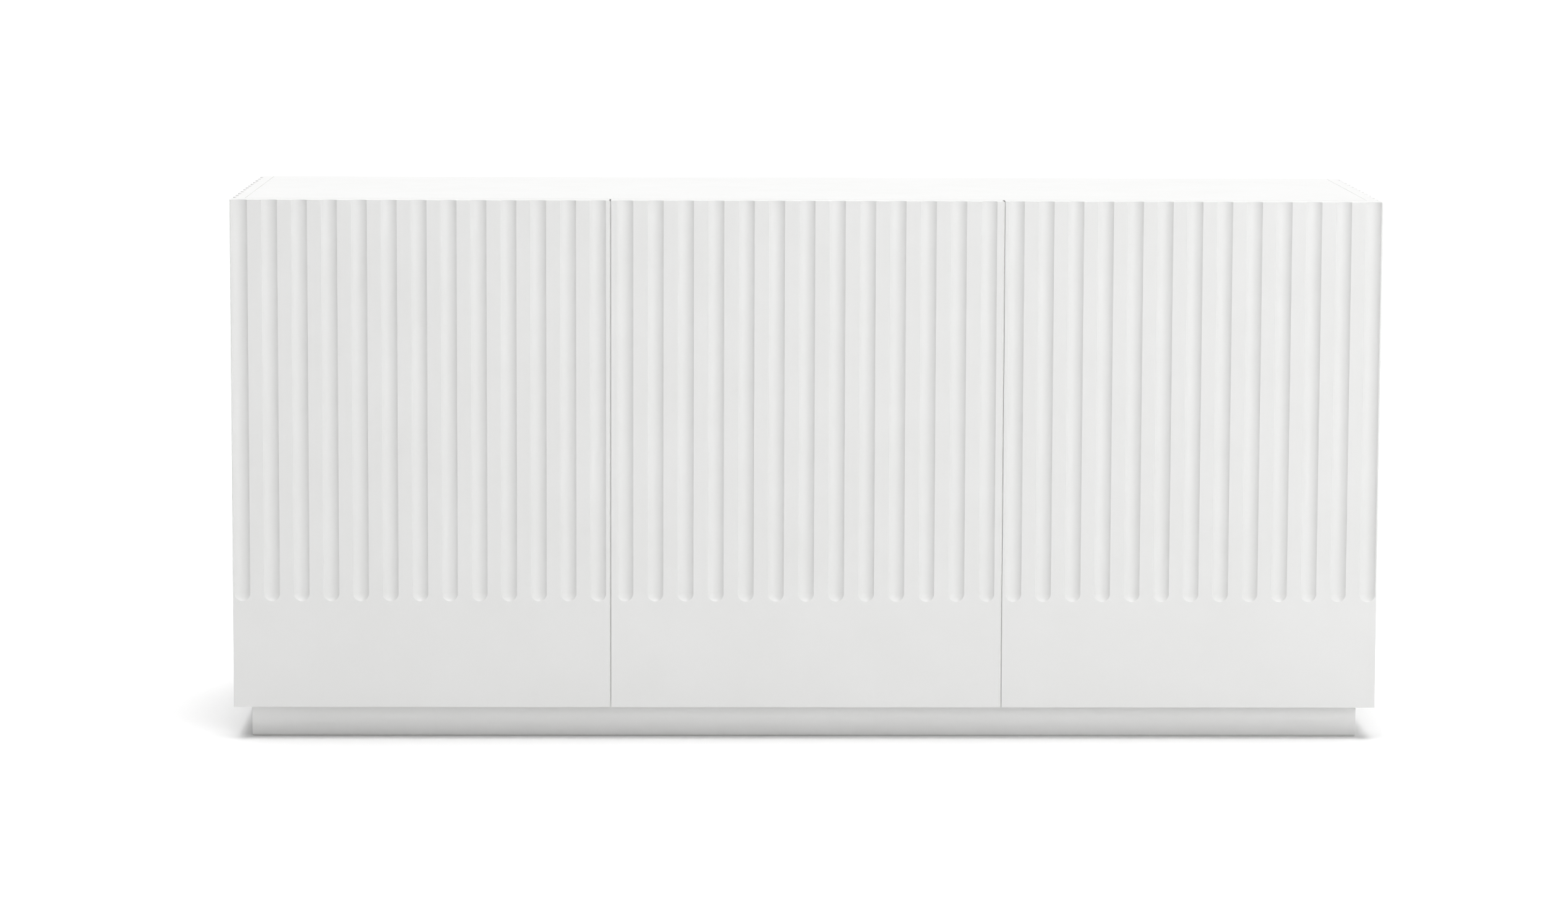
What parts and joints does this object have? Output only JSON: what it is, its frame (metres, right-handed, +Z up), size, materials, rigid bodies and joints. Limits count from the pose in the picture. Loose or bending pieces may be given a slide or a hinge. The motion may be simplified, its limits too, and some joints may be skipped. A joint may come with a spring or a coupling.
{
  "type": "tv stand with doors",
  "caption": "Long low TV stand in satin white lacquer with full-overlay fluted doors, fluted ends, flush top and recessed plinth; doors swing on concealed cup hinges.",
  "frame": {"origin": "on the floor, under the middle of the cabinet", "axes": "+X along the cabinet to the right as seen from the front, +Y from the doors to the back, +Z up"},
  "size_m": [1.6, 0.45, 0.758],
  "materials": {
    "lacquer": "satin white lacquer on fibreboard",
    "melamine": "matt white melamine on chipboard",
    "hardboard": "white painted hardboard",
    "steel": "nickel plated",
    "plastic": "moulded white nylon",
    "glide": "moulded grey nylon"
  },
  "bodies": {
    "carcass": {"side_panel_left": "lacquer", "side_panel_right": "lacquer", "top_panel": "lacquer", "bottom_panel": "melamine", "partition_left": "melamine", "partition_right": "melamine", "back_panel_left": "hardboard", "back_panel_middle": "hardboard", "back_panel_right": "hardboard", "shelf_left": "melamine", "shelf_middle": "melamine", "shelf_right": "melamine", "shelf_pin_left_end_front": "steel", "shelf_pin_left_end_back": "steel", "shelf_pin_left_partition_front": "steel", "shelf_pin_left_partition_back": "steel", "shelf_pin_right_partition_front": "steel", "shelf_pin_right_partition_back": "steel", "shelf_pin_right_end_front": "steel", "shelf_pin_right_end_back": "steel", "plinth_front": "lacquer", "plinth_back": "lacquer", "plinth_end_left": "lacquer", "plinth_end_right": "lacquer", "plinth_cross_rail": "lacquer", "glide_front_left": "glide", "glide_front_right": "glide", "glide_back_left": "glide", "glide_back_right": "glide", "glide_middle": "glide", "hinge_arm_left_lower": "steel", "hinge_arm_left_upper": "steel", "hinge_arm_middle_lower": "steel", "hinge_arm_middle_upper": "steel", "hinge_arm_right_lower": "steel", "hinge_arm_right_upper": "steel", "latch_housing_left": "plastic", "latch_housing_middle": "plastic", "latch_housing_right": "plastic"},
    "left_hinge_links": {"hinge_link_left_lower": "steel", "hinge_link_left_upper": "steel"},
    "left_door": {"door_left": "lacquer", "hinge_cup_left_lower": "steel", "hinge_cup_left_upper": "steel", "strike_plate_left": "steel"},
    "middle_hinge_links": {"hinge_link_middle_lower": "steel", "hinge_link_middle_upper": "steel"},
    "middle_door": {"door_middle": "lacquer", "hinge_cup_middle_lower": "steel", "hinge_cup_middle_upper": "steel", "strike_plate_middle": "steel"},
    "right_hinge_links": {"hinge_link_right_lower": "steel", "hinge_link_right_upper": "steel"},
    "right_door": {"door_right": "lacquer", "hinge_cup_right_lower": "steel", "hinge_cup_right_upper": "steel", "strike_plate_right": "steel"},
    "left_plunger": {"latch_plunger_left": "plastic"},
    "middle_plunger": {"latch_plunger_middle": "plastic"},
    "right_plunger": {"latch_plunger_right": "plastic"}
  },
  "joints": [
    {"name": "left_link_pivot", "type": "hinge", "parent": "carcass", "child": "left_hinge_links", "pos_m": [-0.7764, -0.175, 0.402], "axis": [0, 0, -1], "range_deg": [-14.5, 0]},
    {"name": "left_door_hinge", "type": "hinge", "parent": "left_hinge_links", "child": "left_door", "pos_m": [-0.7916, -0.2122, 0.402], "axis": [0, 0, -1], "range_deg": [0, 110]},
    {"name": "middle_link_pivot", "type": "hinge", "parent": "carcass", "child": "middle_hinge_links", "pos_m": [-0.2489, -0.175, 0.402], "axis": [0, 0, -1], "range_deg": [-14.5, 0]},
    {"name": "middle_door_hinge", "type": "hinge", "parent": "middle_hinge_links", "child": "middle_door", "pos_m": [-0.2641, -0.2122, 0.402], "axis": [0, 0, -1], "range_deg": [0, 110]},
    {"name": "right_link_pivot", "type": "hinge", "parent": "carcass", "child": "right_hinge_links", "pos_m": [0.7764, -0.175, 0.402], "axis": [0, 0, 1], "range_deg": [-14.5, 0]},
    {"name": "right_door_hinge", "type": "hinge", "parent": "right_hinge_links", "child": "right_door", "pos_m": [0.7916, -0.2122, 0.402], "axis": [0, 0, 1], "range_deg": [0, 110]},
    {"name": "left_plunger_push", "type": "slide", "parent": "carcass", "child": "left_plunger", "axis": [0, 1, 0], "range_m": [0, 0.0025], "stiffness_N_per_m": 400},
    {"name": "middle_plunger_push", "type": "slide", "parent": "carcass", "child": "middle_plunger", "axis": [0, 1, 0], "range_m": [0, 0.0025], "stiffness_N_per_m": 400},
    {"name": "right_plunger_push", "type": "slide", "parent": "carcass", "child": "right_plunger", "axis": [0, 1, 0], "range_m": [0, 0.0025], "stiffness_N_per_m": 400}
  ],
  "couplings": [
    {"joint": "left_link_pivot", "follows": "left_door_hinge", "ratio": -0.13},
    {"joint": "middle_link_pivot", "follows": "middle_door_hinge", "ratio": -0.13},
    {"joint": "right_link_pivot", "follows": "right_door_hinge", "ratio": -0.13}
  ]
}
